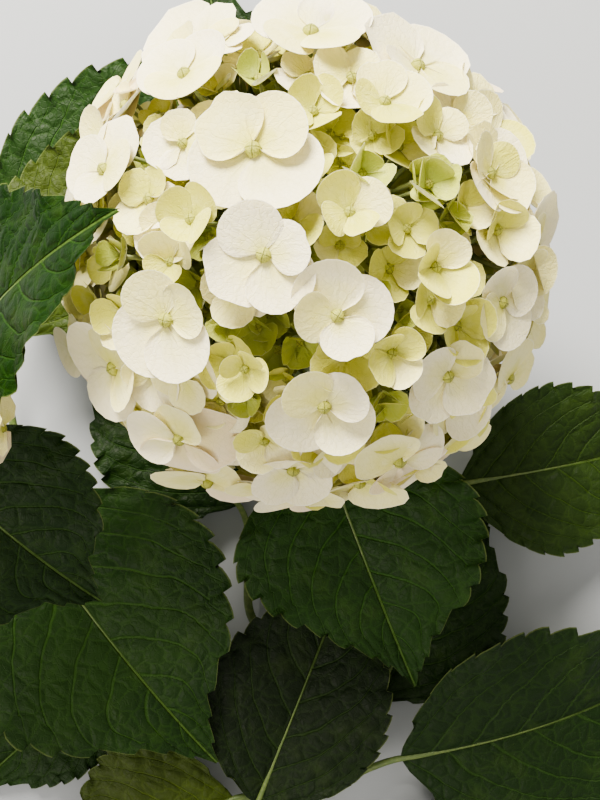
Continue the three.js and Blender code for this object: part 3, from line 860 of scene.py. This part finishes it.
def leaf_top_look(name, leaf, sizes):
    """Upper face: green between lighter, sunken veins and a faint net, with painted shade in the furrows
    beside the side veins and a thin light rim.
    """
    look = Look(name, Specular_IOR_Level=leaf.gloss)
    off_side, wide, off_mid = leaf_lines(look, sizes.vein_spacing)
    place = look.place()
    side_vein = look.ramp(off_side, 0.06, 0.015) * look.ramp(wide, 1.05, 0.7)
    # Painted shade: darker green in the sunken furrows beside each side vein.
    furrow_shade = look.ramp(off_side, 0.34, 0.03)
    midrib = look.ramp(off_mid, 0.00075, 0.0003)
    swirl = look.node("ShaderNodeTexNoise", sockets={"Vector": place, "Scale": 90.0}).outputs["Color"]
    warped = look.vector("MULTIPLY_ADD", look.vector("ADD", place, swirl), (0.008, 0.008, 0.008), place)
    rungs = look.ramp(look.cells(warped, 140), 0.1, 0.0)
    bulges = look.ramp(look.cells(warped, 140), 0.0, 0.32)
    net = look.ramp(look.cells(place, 420), 0.11, 0.02)
    rim = look.ramp(wide, 0.985, 0.997)
    mottle = look.noise(place, 22, 3)
    blotch = look.noise(place, 75, 3)
    grain = look.noise(place, 1500, 2)
    green, patch = linear(leaf.green), linear(leaf.patch)
    vein = tuple(1.4 * pale + 0.15 * tint for pale, tint in zip(patch, sizes.vein))
    colour = look.layers(
        green,
        (look.ramp(mottle, 0.36, 0.66) * leaf.patches, patch),
        (look.ramp(blotch, 0.5, 0.75) * 0.3, blend(patch, (0.09, 0.15, 0.02), 0.2)),
        # Painted shade in the furrows beside the side veins.
        (furrow_shade * 0.3, blend(green, (0, 0.01, 0), 0.4)),
        (net * 0.08, vein),
        (bulges * 0.1, blend(patch, vein, 0.3)),
        (rungs * 0.26, vein),
        (side_vein * 0.6, vein),
        (midrib * 0.8, blend(vein, (0.1, 0.16, 0.03), 0.3)),
        (rim * 0.6, sizes.edge))
    puckers = look.noise(place, 170, 2)
    height = 1 - net * 0.1 + bulges * 0.5 - side_vein * 0.5 - midrib + grain * 0.1 + puckers * 0.6
    return look.finish(colour, 0.42 + 0.2 * mottle + 0.06 * net, height, 0.0008)


def leaf_under_look(sizes):
    """Lower face: paler and matt, with the veins standing out of it."""
    look = Look("leaf_underside", Specular_IOR_Level=0.3)
    off_side, _, off_mid = leaf_lines(look, sizes.vein_spacing)
    place = look.place()
    side_vein = look.ramp(off_side, 0.08, 0.03)
    rungs = look.ramp(look.cells(place, 150), 0.09, 0.02)
    net = look.ramp(look.cells(place, 420), 0.12, 0.02)
    pale = blend(sizes.underside, (0.35, 0.42, 0.2), 0.35)
    mottle = look.noise(place, 30, 2)
    midrib = look.ramp(off_mid, 0.0015, 0.0007)
    colour = look.layers(
        sizes.underside,
        (mottle * 0.5, blend(sizes.underside, (0.1, 0.2, 0.05), 0.4)),
        (net * 0.2, pale),
        (rungs * 0.35, pale),
        (look.maths("MAXIMUM", side_vein, midrib) * 0.8, pale))
    return look.finish(colour, 0.62 + 0.1 * net, net * 0.4 + rungs * 0.7 + side_vein, 0.0005)


def leaf_stalk_look():
    look = Look("leaf_stalk", Specular_IOR_Level=0.4)
    place = look.place()
    streaks = look.noise(place, 600, 3)
    colour = look.mix(look.ramp(streaks, 0.4, 0.7), (0.06, 0.1, 0.018), (0.1, 0.14, 0.03))
    return look.finish(colour, 0.4 + 0.2 * streaks, streaks, 0.0002)


def leaf_mesh(name, leaf, sizes):
    blade = Blade(name, leaf, sizes)
    bm = sheet(LEAF_STRIPS, sizes.teeth * ROWS_TO_TOOTH)
    layer = bm.verts.layers.float_vector.new(BLADE)
    for vert in bm.verts:
        q, share = vert.co.x, (vert.co.y + 1) / 2
        place = share * sizes.teeth
        tooth = place - floor(place)
        ahead = TOOTH_LEAN * smooth(0.7, 1.0, abs(q))
        ahead *= smooth(0.0, TOOTH_PEAK, tooth) * smooth(1.0, 0.82, tooth)
        s = min(share + ahead / sizes.teeth * smooth(0.95, 0.9, share), 1.0)
        vert.co, across = blade.point(q, share)
        vert.co += blade.run.tangent(s) * (ahead * blade.run.length / sizes.teeth)
        vert[layer] = (q, s, across / ACROSS_UNIT)
    lower, _ = thicken(bm, sizes.thickness / MM)
    for vert in bm.verts:
        vert.co.z = max(vert.co.z, 0)

    def on_the_left(vert, u, v):
        _, s, across = vert[layer]
        return 0.25 + 0.235 * across * ACROSS_UNIT / (0.55 * leaf.width), 0.02 + 0.96 * s

    lay_map(bm, bm.faces, on_the_left)
    lay_map(bm, lower, lambda vert, u, v: (u + 0.5, v))
    for face in lower:
        face.material_index = 1
    return bm, blade


def leaf_stalk(leaf, blade):
    """The stalk from its foot on the stem, which runs on as the midrib under the blade."""
    stem = STEMS[leaf.stem]
    start = blade.run.tangent(0)
    base = blade.run.at(STALK_ROOT)
    foot, out = foot_on(stem, stem["nodes"][leaf.pair] / stem["steps"], base)
    reach = 0.35 * (foot - base).length
    arm = arm_of(foot, foot + out * reach, base - start * reach, base)
    length = arm.length + 0.9 * blade.run.length
    join = arm.length / length

    def point(t):
        if t <= join:
            return arm.at(t / join)
        s = STALK_ROOT + 0.93 * (t - join) / (1 - join)
        tangent = blade.run.tangent(s)
        normal = tangent.cross(blade.face).normalized().cross(tangent).normalized()
        place = blade.run.at(s) - normal * (0.75 * smooth(join, join + 0.1, t))
        place.z = max(place.z, 1.45 - (t - join) / (1 - join))
        return place

    def radius_at(share, angle):
        if share < join:
            part = share / join
            flare = 0.5 * bell(share * length, 2.5)
            return STALK_RADIUS + flare - 0.75 * part
        return MIDRIB_RADIUS - 1.0 * ((share - join) / (1 - join)) ** 0.8

    bm = tube(Run(point), radius_at, STALK_SIDES, ceil(length / STALK_STEP))
    layer = bm.verts.layers.float_vector.new(BLADE)
    for vert in bm.verts:
        vert[layer] = (0, 0.5, 0)
    for face in bm.faces:
        face.material_index = 2
    return bm


class HYDRANGEA_OT_leaves(bpy.types.Operator):
    """Build the leaves, each with its stalk"""

    bl_idname = "hydrangea.leaves"
    bl_label = "Leaves"

    def execute(self, context):
        sizes = context.scene.hydrangea_leaves
        under = leaf_under_look(sizes)
        stalk = leaf_stalk_look()
        for name, leaf in LEAVES.items():
            bm, blade = leaf_mesh(name, leaf, sizes)
            pour(bm, leaf_stalk(leaf, blade))
            top = leaf_top_look(name + "_green", leaf, sizes)
            piece(name + "_blade", bm, [top, under, stalk], name)
        return {"FINISHED"}


def direction(lean, bearing):
    """Unit vector that leans from straight up towards a bearing from +X."""
    up, around = radians(lean), radians(bearing)
    return Vector((sin(up) * cos(around), sin(up) * sin(around), cos(up)))


def any_way(random):
    height = 2 * random() - 1
    return direction(degrees(acos(height)), 360 * random())


def throw_darts(random, florets, count, spacing, bloom, stalk_way, keep, depth=1.0):
    """Adds florets that stay off the others and the bare patch, until there are count more or the darts are
    used up. The patch narrows inwards. depth is their distance from the centre as a share of the large
    ones', and keep makes a floret or turns its place down.
    """
    bare = cos(radians(bloom["bare"] * depth * depth))
    closest = 2 * sin(spacing / bloom["seat"] / 2)
    goal = len(florets) + count
    for _ in range(MOST_DARTS):
        if len(florets) >= goal:
            break
        way = any_way(random)
        size, turn = random(), 90 * random()
        if all((floret.way - way).length > closest for floret in florets) and way.dot(stalk_way) < bare:
            made = keep(way, size, turn)
            if made:
                florets.append(made)


def set_florets(bloom, stalk_way, neighbours):
    """The large florets where the source puts them, then finer ones by the same rule."""
    random = seeded(bloom["seed"])
    florets = [
        Floret(direction(lean, bearing), radius, turn, age, bloom["seat"], 0)
        for lean, bearing, radius, turn, age in bloom["leading"]]

    def large(way, size, turn):
        # Florets low on the bloom take the darker pinkish colour, which is partly painted shade for the
        # bloom's lower side.
        low = bloom["age"] == "white" and way.z < 0.3
        radius = bloom["floret"] * (1 + 0.12 * (2 * size - 1))
        return Floret(way, radius, 4 * turn, "blush" if low else bloom["age"], bloom["seat"], 1)

    throw_darts(random, florets, bloom["count"] - len(florets), bloom["spacing"], bloom, stalk_way, large)
    for lean, bearing, away, radius, turn, age in bloom["nested"]:
        florets.append(Floret(direction(lean, bearing), radius, turn, age, away, 1))
    for count, spacing, away, usual, *ages in bloom["crowds"]:
        def fine(way, size, turn, away=away, usual=usual, ages=ages):
            radius = usual * (1 + 0.25 * (2 * size - 1))
            place = Vector(bloom["centre"]) + way * away
            if any((place - point).length < radius + LEAF_CLEARANCE for point in neighbours):
                return None
            if away > DEEP and any((way * away - other.way * other.away).length < other.radius
                                   for other in florets if other.rank == 0):
                return None
            younger = way.x + 0.4 * way.z + 0.5 * (size - 0.5) > 0.35
            return Floret(way, radius, 4 * turn, ages[younger], away, 2)

        throw_darts(random, florets, count, spacing, bloom, stalk_way, fine, away / bloom["seat"])
    return florets


def floret_place(bloom, floret, random):
    """The matrix of a floret: its face along Z, the picture's top along Y before its turn."""
    lean = degrees(acos(max(min(floret.way.z, 1), -1)))
    face = floret.way.copy()
    face += UP * (0.2 if floret.rank == 2 else 0.45 if lean < TOP_LEAN else 0.35) * smooth(115, 95, lean)
    if floret.rank > 0:
        face += Vector((random() - 0.5, random() - 0.5, random() - 0.5)) * 0.42
    face.normalize()
    top = PICTURE_TOP if abs(face.y) < 0.97 else -UP
    right = top.cross(face).normalized()
    turn = Matrix.Rotation(radians(floret.turn), 4, "Z")
    axes = Matrix((right, face.cross(right), face)).transposed().to_4x4()
    away = floret.away * (1 + (0.05 * (random() - 0.6) if floret.rank else 0))
    return Matrix.Translation(Vector(bloom["centre"]) + floret.way * away) @ axes @ turn


def fineness(floret):
    """Strips across a sepal as a share of the usual number: more where it shows, fewer where it lies deep."""
    if floret.away < INNERMOST:
        return 0.4
    if floret.rank == 0:
        return 1.2
    fine = 0.75 if floret.radius > 12.5 else 0.6 if floret.radius > 9 else 0.5
    return min(fine, 0.65) if floret.rank == 2 else fine


def sepal(floret, place, bearing, length, breadth, inner, lift, left, sizes, random):
    """One sepal: a broad round fan from the floret's middle, cupped and bent, with two faces."""
    age = AGES[floret.age]
    fine = fineness(floret)
    bm = sheet(round(sizes.sepal_parts * fine), round(sizes.sepal_parts * fine * 0.6))
    fan = radians(INNER_FAN if inner else OUTER_FAN) * breadth * age.fan
    angles = age.inner if inner else age.outer
    stance = [radians(angle + age.spread * (random() - 0.5)) for angle in angles]
    rise, cup = stance[0], stance[1] if abs(stance[1]) > 1e-3 else 1e-3
    hollow = age.hollow * (0.5 + random())
    wave, start = 0.02 + 0.035 * random(), random() * 2 * pi
    curl = 0.16 * random() - 0.05
    notch = max(random() - 0.6, 0) * 0.22
    skew = (random() - 0.5) * 0.2
    twist = -0.02 - 0.05 * random()
    pinch = 0.07 * random()
    toothed = random() < age.toothed
    foot = SEPAL_FOOT * floret.radius
    turned = Matrix.Rotation(radians(bearing), 4, "Z")
    for vert in bm.verts:
        x, t = vert.co.x, 0.03 + 0.97 * (vert.co.y + 1) / 2
        a = x * (1.3 - 0.3 * x * x)
        outline = 0.1 + 0.9 * max(cos(a * pi / 2), 0) ** 0.45
        outline *= 1 + skew * a - notch * bell(a - 0.4 * skew, 0.1)
        if toothed:
            outline *= 1 + 0.035 * sin(a * 13 + start) * smooth(0.85, 0.5, abs(a)) * smooth(0.6, 1.0, t)
        reach, angle = length * outline * t, a * fan
        along, across = reach * cos(angle), reach * sin(angle)
        share = along / length
        out = length * (sin(rise + cup * share) - sin(rise)) / cup
        up = length * (cos(rise) - cos(rise + cup * share)) / cup
        up += hollow * (left if across > 0 else 1) * across * across / length * (0.4 + 0.6 * share)
        up += twist * across * t
        up += wave * length * t * t * sin(3.4 * a + start) - pinch * abs(across) * t * (1 - t)
        up += curl * length * t ** 5 * (0.6 + 0.4 * sin(2.1 * a + start))
        vert.co = place @ turned @ Vector((foot + out, across, lift + up))
    thicken(bm, sizes.sepal_thickness / MM)
    tile = (floor(random() * TILES), floor(random() * TILES))
    lay_map(bm, bm.faces, lambda vert, u, v: (
        (tile[0] + TILE_MARGIN + TILE_INSIDE * u) / TILES,
        (tile[1] + TILE_MARGIN + TILE_INSIDE * v) / TILES))
    return bm


def floret_bud(floret, place):
    """The four-lobed bud in a floret's middle."""
    bm = bmesh.new()
    bmesh.ops.create_uvsphere(bm, u_segments=12, v_segments=6, radius=1)
    lay_ball_map(bm, 1, 0.45)
    size = 0.1 * floret.radius + 0.6
    for vert in bm.verts:
        x, y, z = vert.co
        lobes = 1 - BUD_LOBES * abs(sin(2 * atan2(y, x))) * sqrt(max(1 - z ** 2, 0))
        vert.co = place @ Vector((x * size * lobes, y * size * lobes, 1.2 + size * 0.8 * z))
    return bm


def heap_of(age, inner, random):
    """Which joined mesh a sepal goes to: the inner sepals of open florets are creamier."""
    if age in ("white", "blush") and inner:
        return "cream" if random() < 0.75 else "white"
    if age == "cream":
        return "gold" if inner and random() < 0.35 else "white" if not inner and random() < 0.4 else "cream"
    if age == "gold" and not inner:
        return "cream" if random() < 0.35 else "gold"
    return age


def nearest(ways, way):
    return max(range(len(ways)), key=lambda i: ways[i].dot(way))


def stalk_between(start, through_point, end, thick, thin):
    run = bow_of(start, through_point, end)
    return tube(run, lambda share, angle: thick + (thin - thick) * share, 6, 4)


def spread_ways(random, count, spacing, stalk_way):
    """Random directions off the bloom's stalk, evenly spread."""
    ways = []
    for _ in range(MOST_DARTS):
        if len(ways) >= count:
            break
        way = any_way(random)
        if all((other - way).length > spacing for other in ways) and way.dot(stalk_way) < 0.85:
            ways.append(way)
    return ways


def bloom_stalks(bm, buds, bloom, florets, places, stalk_way, random):
    """Rays from the bloom's hub that branch twice and end under the florets and in tiny buds."""
    centre = Vector(bloom["centre"])
    tip = STEMS[bloom["stem"]]["run"].at(1)
    hub = centre + stalk_way * HUB * bloom["seat"]
    foot = tip - stalk_way * GAP
    pour(bm, tube(through([foot, foot.lerp(hub, 0.5), hub]),
                  lambda share, angle: bloom["stalk"] * (1 + 0.25 * share), 14, 12))
    scale = bloom["seat"] / BLOOMS["main_bloom"]["seat"]
    rays = spread_ways(random, bloom["rays"], RAY_SPACING, stalk_way)
    branches = spread_ways(random, bloom["branches"], BRANCH_SPACING, stalk_way)
    ray_ends = [centre + way * bloom["seat"] * RAY_ENDS for way in rays]
    for way, end in zip(rays, ray_ends):
        middle = hub.lerp(end, 0.5) + way * 5 * scale
        pour(bm, stalk_between(hub, middle, end, 2.0 * scale + 0.3, 1.4 * scale + 0.3))
    branch_ends = []
    for way in branches:
        start = ray_ends[nearest(rays, way)]
        end = centre + way * bloom["seat"] * BRANCH_ENDS
        branch_ends.append(end)
        middle = start.lerp(end, 0.5) + way * 3 * scale
        pour(bm, stalk_between(start, middle, end, 1.3 * scale + 0.2, 0.9 * scale + 0.2))
    for floret, place in zip(florets, places):
        start = branch_ends[nearest(branches, floret.way)]
        base, face = place @ Vector((0, 0, 0.3)), place.to_3x3() @ UP
        middle = base - face * (start - base).length * 0.5
        pour(bm, stalk_between(start, middle, base, 0.8 * scale + 0.15, 0.6))
    for _ in range(bloom["buds"]):
        way = any_way(random)
        if way.dot(stalk_way) > 0.7:
            continue
        end = centre + way * bloom["seat"] * (0.76 + 0.1 * random())
        start = branch_ends[nearest(branches, way)]
        pour(bm, stalk_between(start, start.lerp(end, 0.5) + way * 2, end, 0.55, 0.4))
        size = 0.9 + 0.7 * random()
        bud = bmesh.new()
        bmesh.ops.create_icosphere(bud, subdivisions=1, radius=size)
        lay_ball_map(bud, size, 0.4)
        bmesh.ops.translate(bud, verts=bud.verts, vec=end)
        pour(buds, bud)


def sepal_look(name, body, heart, edge):
    """Soft sepal: tinted heart, body colour, a painted highlight along the thin edge, painted shade round the
    bud at the foot, and faint veins that fan out.
    """
    look = Look(name, Specular_IOR_Level=0.15, Subsurface_Weight=0.3, Subsurface_Radius=(0.6, 0.55, 0.35),
                Subsurface_Scale=0.002)
    place = look.vector("MULTIPLY", look.map(), (TILES, TILES, 1))
    tile = look.vector("FLOOR", place)
    tint = Wire(look, look.node("ShaderNodeTexWhiteNoise", sockets={"Vector": tile}).outputs["Value"])
    across, along, _ = look.parts(look.vector("FRACTION", place))
    fan = abs(across - 0.5) * 2
    bend = (look.noise(look.stretched(place, (6, 3, 1)), 1, 2) - 0.5) * 0.16
    lines = []
    for count, low, high in ((6, 0.02, 0.2), (13, 0.3, 0.6), (27, 0.55, 0.85)):
        off = abs(look.maths("FRACT", (across + bend) * count) - 0.5)
        lines.append(look.ramp(off, 0.02 * count, 0.0) * look.ramp(along, low, high))
    vein = look.maths("MAXIMUM", look.maths("MAXIMUM", lines[0], lines[1] * 0.7), lines[2] * 0.45)
    net = look.ramp(look.cells(look.place(), 620), 0.09, 0.0)
    crinkle = look.noise(look.place(), 650, 3, 0.6)
    mottle = look.noise(look.stretched(place, (3, 2.5, 1)), 1, 2)
    # Bands at the sides and the tip of the sepal, where the painted highlight along its rim goes.
    side = look.ramp(fan, 0.88, 0.92) * look.ramp(along, 0.1, 0.3)
    colour = look.layers(
        heart,
        (look.ramp(along + (mottle - 0.5) * 0.3, 0.06, 0.86), body),
        (tint * 0.4, blend(body, heart, 0.55)),
        # Painted shade: a darker green ring at the sepal's foot, round the bud.
        (look.ramp(along, 0.2, 0.02) * 0.75, blend(heart, (0.26, 0.28, 0.04), 0.6)),
        (look.ramp(mottle, 0.4, 0.7) * 0.25, blend(body, edge, 0.6)),
        (vein * 0.16 + net * 0.05, blend(heart, (0.45, 0.48, 0.25), 0.4)),
        # Painted highlight along the sepal's rim, in the edge colour.
        (look.maths("MAXIMUM", look.ramp(along, 0.93, 0.96), side) * 0.5, edge))
    return look.finish(colour, 0.55 + 0.12 * crinkle, crinkle * 0.5 - vein * 0.35 - net * 0.25, 0.00022)


def bud_look():
    look = Look("floret_bud", Specular_IOR_Level=0.4)
    across, along, _ = look.parts(look.map())
    cross = look.maths("MINIMUM", abs(across - 0.5), abs(along - 0.5))
    groove = look.ramp(cross, 0.045, 0.0)
    grain = look.noise(look.stretched(look.map(), (12, 12, 1)), 1, 2)
    colour = look.layers(
        (0.27, 0.30, 0.02),
        (look.ramp(grain, 0.35, 0.65), (0.43, 0.42, 0.05)),
        (groove * 0.6, (0.10, 0.11, 0.01)))
    return look.finish(colour, 0.45 + 0.15 * grain, grain - groove, 0.0003)


def pedicel_look(sizes):
    look = Look("flower_stalk", Specular_IOR_Level=0.35)
    _, along, _ = look.parts(look.map())
    streaks = look.noise(look.stretched(look.map(), (9, 2, 1)), 1, 3)
    green = sizes.stalk_green
    colour = look.layers(
        green,
        (look.ramp(along, 0.1, 0.9), blend(green, (0.55, 0.6, 0.25), 0.55)),
        (look.ramp(streaks, 0.45, 0.7) * 0.5, blend(green, (0.1, 0.15, 0.02), 0.4)))
    return look.finish(colour, 0.45 + 0.2 * streaks, streaks, 0.0002)


def bloom_looks(sizes):
    """The materials that both blooms share, made once."""
    if "sepal_white" not in bpy.data.materials:
        # light is the colour of the painted highlight along the sepal rims.
        light = (0.97, 0.93, 0.80)
        green = (0.66, 0.64, 0.08)
        for age, heart, share, edge in (
                ("white", green, 0.75, light),
                ("cream", green, 0.85, light),
                ("gold", (0.42, 0.44, 0.03), 0.6, blend(sizes.gold, light, 0.7)),
                ("lime", (0.42, 0.5, 0.10), 0.5, blend(sizes.lime, light, 0.5)),
                ("blush", green, 0.5, light)):
            body = getattr(sizes, age)
            sepal_look("sepal_" + age, body, blend(body, heart, share), edge)
        bud_look()
        pedicel_look(sizes)
    return bpy.data.materials


def build_bloom(name, context):
    sizes = context.scene.hydrangea_bloom
    bloom = BLOOMS[name]
    centre = Vector(bloom["centre"])
    stalk_way = (STEMS[bloom["stem"]]["run"].at(1) - centre).normalized()
    reach = bloom["seat"] + bloom["floret"] + 8
    neighbours = []
    for leaf in LEAVES:
        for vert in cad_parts[leaf].data.vertices:
            point = vert.co / MM - SHIFT
            if (point - centre).length < reach:
                neighbours.append(point)
    florets = set_florets(bloom, stalk_way, neighbours)
    random = seeded(bloom["seed"] + 17)
    heaps = {age: bmesh.new() for age in AGES}
    buds, stalks = bmesh.new(), bmesh.new()
    places = []
    for floret in florets:
        place = floret_place(bloom, floret, random)
        places.append(place)
        for bearing, length, breadth, inner, lift, left in SEPALS:
            aim = bearing + (random() - 0.5) * 16
            long = floret.radius * length * (0.92 + 0.16 * random()) * AGES[floret.age].long
            wide = breadth * (0.95 + 0.1 * random())
            part = sepal(floret, place, aim, long, wide, inner, lift, left, sizes, random)
            pour(heaps[heap_of(floret.age, inner, random)], part)
        pour(buds, floret_bud(floret, place))
    bloom_stalks(stalks, buds, bloom, florets, places, stalk_way, random)
    looks = bloom_looks(sizes)
    for age, bm in heaps.items():
        if bm.faces:
            piece(f"{name}_{age}_sepals", bm, [looks["sepal_" + age]], name)
        else:
            bm.free()
    piece(f"{name}_buds", buds, [looks["floret_bud"]], name)
    piece(f"{name}_stalks", stalks, [looks["flower_stalk"]], name)


class HYDRANGEA_OT_main_bloom(bpy.types.Operator):
    """Build the large flower head"""

    bl_idname = "hydrangea.main_bloom"
    bl_label = "Main bloom"

    def execute(self, context):
        build_bloom("main_bloom", context)
        return {"FINISHED"}


class HYDRANGEA_OT_small_bloom(bpy.types.Operator):
    """Build the smaller, younger flower head"""

    bl_idname = "hydrangea.small_bloom"
    bl_label = "Small bloom"

    def execute(self, context):
        build_bloom("small_bloom", context)
        return {"FINISHED"}


def area_light(name, power, place, size):
    light = bpy.data.lights.new(name, "AREA")
    light.shape = "DISK"
    light.size = size
    light.energy = power
    light.color = LIGHT_COLOUR
    lamp = place_object(name, light)
    lamp.location = place
    lamp.rotation_euler = (Vector(LIGHT_AIM) - Vector(place)).to_track_quat("-Z", "Y").to_euler()


class HYDRANGEA_OT_stage(bpy.types.Operator):
    """Set the floor, the soft lights and the camera"""

    bl_idname = "hydrangea.stage"
    bl_label = "Stage"

    def execute(self, context):
        sizes = context.scene.hydrangea_stage
        bm = bmesh.new()
        bmesh.ops.create_grid(bm, x_segments=1, y_segments=1, size=FLOOR_REACH)
        mesh = bpy.data.meshes.new("floor")
        bm.to_mesh(mesh)
        bm.free()
        look = Look("floor_paper", Roughness=0.9)
        clouds = look.noise(look.place(), 3, 1) * 0.1
        mesh.materials.append(look.finish(look.mix(clouds, sizes.floor, blend(sizes.floor, (0, 0, 0), 0.1))))
        floor = place_object("floor", mesh)

        world = bpy.data.worlds.new("studio")
        world.use_nodes = True
        sky = world.node_tree.nodes["Background"].inputs
        sky["Color"].default_value = (1.0, 0.935, 0.80, 1)
        sky["Strength"].default_value = 0.95
        context.scene.world = world
        area_light("key_light", sizes.key, (-0.3, 0.95, 0.85), 0.6)
        area_light("fill_light", sizes.fill, (-0.7, -0.7, 0.8), 0.8)

        data = bpy.data.cameras.new("camera")
        data.lens = sizes.lens
        data.sensor_fit = "VERTICAL"
        data.sensor_height = 36
        data.clip_start = 0.01
        camera = place_object("camera", data)
        camera.location = (CAMERA + SHIFT) * MM
        context.scene.camera = camera
        return {"FINISHED"}


class HYDRANGEA_PT_panel(bpy.types.Panel):
    """The branch's pieces, in the order that they are built"""

    bl_idname = "HYDRANGEA_PT_panel"
    bl_label = "Hydrangea Branch"
    bl_space_type = "VIEW_3D"
    bl_region_type = "UI"
    bl_category = "Hydrangea"

    def draw(self, context):
        for operator in OPERATORS:
            self.layout.operator(operator.bl_idname)
        for group in SIZE_GROUPS:
            sizes = getattr(context.scene, group)
            for name in sizes.bl_rna.properties.keys():
                if name not in ("rna_type", "name"):
                    self.layout.prop(sizes, name)


OPERATORS = (HYDRANGEA_OT_stage, HYDRANGEA_OT_stems, HYDRANGEA_OT_leaves, HYDRANGEA_OT_main_bloom,
             HYDRANGEA_OT_small_bloom)
SIZE_GROUPS = {
    "hydrangea_bloom": BloomSizes,
    "hydrangea_leaves": LeafSizes,
    "hydrangea_stems": StemSizes,
    "hydrangea_stage": StudioSizes,
}


def register():
    for made in (*SIZE_GROUPS.values(), *OPERATORS, HYDRANGEA_PT_panel):
        bpy.utils.register_class(made)
    for name, group in SIZE_GROUPS.items():
        setattr(bpy.types.Scene, name, PointerProperty(type=group))


def unregister():
    for name in SIZE_GROUPS:
        delattr(bpy.types.Scene, name)
    for made in (HYDRANGEA_PT_panel, *OPERATORS, *SIZE_GROUPS.values()):
        bpy.utils.unregister_class(made)


def main():
    register()
    bpy.ops.hydrangea.stage()
    bpy.ops.hydrangea.stems()
    bpy.ops.hydrangea.leaves()
    bpy.ops.hydrangea.main_bloom()
    bpy.ops.hydrangea.small_bloom()


if __name__ == "__main__":
    main()
